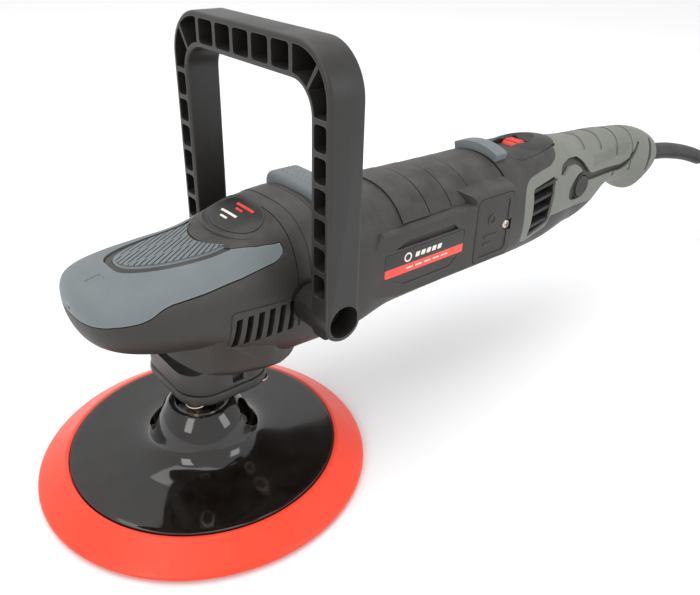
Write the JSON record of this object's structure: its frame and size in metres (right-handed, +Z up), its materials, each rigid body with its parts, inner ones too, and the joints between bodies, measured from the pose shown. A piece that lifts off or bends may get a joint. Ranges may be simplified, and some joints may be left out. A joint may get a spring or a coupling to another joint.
{
  "type": "rotary polisher",
  "caption": "Corded right-angle rotary polisher with a hook-faced foam backing pad, a D-shaped front handle, a barrel motor and a tail handle with coiled mains lead.",
  "frame": {"origin": "centre of the pad's underside, on the spindle axis", "axes": "+Z up the spindle, +X from the spindle along the motor toward the tail handle, y = 0 the mirror plane"},
  "size_m": [0.7247, 0.3239, 0.233],
  "materials": {
    "housing": "fine-textured glass-filled nylon",
    "gloss": "polished black",
    "grip": "smooth matte soft-touch",
    "tail_grip": "smooth matte soft-touch",
    "nylon": "moulded nylon",
    "foam": "moulded polyurethane, satin",
    "hook": "hook-and-loop hooks",
    "red": "satin",
    "steel": "machined",
    "cast_black": "die-cast, painted black",
    "copper": "copper windings",
    "carbon": "pressed carbon",
    "brass": "plain",
    "board": "potted circuit board",
    "rubber": "matte cord rubber"
  },
  "bodies": {
    "housing": {"badge": "gloss", "bearing_bridge": "nylon", "bearing_plate": "cast_black", "brush_cover_left": "housing", "brush_cover_right": "housing", "brush_holder_left": "brass", "brush_holder_right": "brass", "carbon_brush_left": "carbon", "carbon_brush_right": "carbon", "cord_clamp": "nylon", "cord_coil": "rubber", "cord_end": "rubber", "cord_guard": "rubber", "cord_lead": "rubber", "cord_tie": "nylon", "cover_screw_left": "steel", "cover_screw_right": "steel", "front_bearing": "steel", "front_bumper": "grip", "gear_case": "cast_black", "grip_insert": "grip", "handle_bolt_left": "steel", "handle_bolt_right": "steel", "handle_grip_left": "tail_grip", "handle_grip_right": "tail_grip", "handle_shell_left": "housing", "handle_shell_right": "housing", "head_shell": "housing", "lower_cover": "nylon", "motor_housing": "housing", "palm_grip": "grip", "plate_screw_1": "steel", "plate_screw_2": "steel", "plate_screw_3": "steel", "plate_screw_4": "steel", "plug": "rubber", "rear_bearing": "steel", "rear_bumper": "grip", "side_label_left": "red", "side_label_right": "red", "speed_module": "board", "spindle_bearing": "steel", "spindle_bush": "brass", "stator": "steel", "switch_module": "nylon", "switch_panel": "nylon"},
    "armature": {"motor_shaft": "steel", "armature_core": "copper", "commutator": "copper", "fan": "nylon", "pinion": "steel"},
    "spindle": {"spindle": "steel", "crown_gear": "steel", "backing_disc": "gloss", "foam_pad": "foam", "hook_disc": "hook"},
    "d_handle": {"d_handle": "nylon"},
    "slide_switch": {"slide_switch": "red"},
    "side_button": {"side_button": "nylon"}
  },
  "joints": [
    {"name": "spindle_spin", "type": "hinge", "parent": "housing", "child": "spindle", "pos_m": [0, 0, 0.06], "axis": [0, 0, 1], "continuous": true},
    {"name": "armature_spin", "type": "hinge", "parent": "housing", "child": "armature", "pos_m": [0.1, 0, 0.105], "axis": [1, 0, 0], "continuous": true},
    {"name": "d_handle_tilt", "type": "hinge", "parent": "housing", "child": "d_handle", "pos_m": [0.045, 0, 0.105], "axis": [0, 1, 0], "range_deg": [-40, 40]},
    {"name": "switch_slide", "type": "slide", "parent": "housing", "child": "slide_switch", "axis": [-1, 0, 0], "range_m": [0, 0.005]},
    {"name": "button_push", "type": "slide", "parent": "housing", "child": "side_button", "axis": [0, 1, 0], "range_m": [0, 0.002], "stiffness_N_per_m": 400}
  ],
  "couplings": [
    {"joint": "armature_spin", "follows": "spindle_spin", "ratio": 4.25}
  ]
}
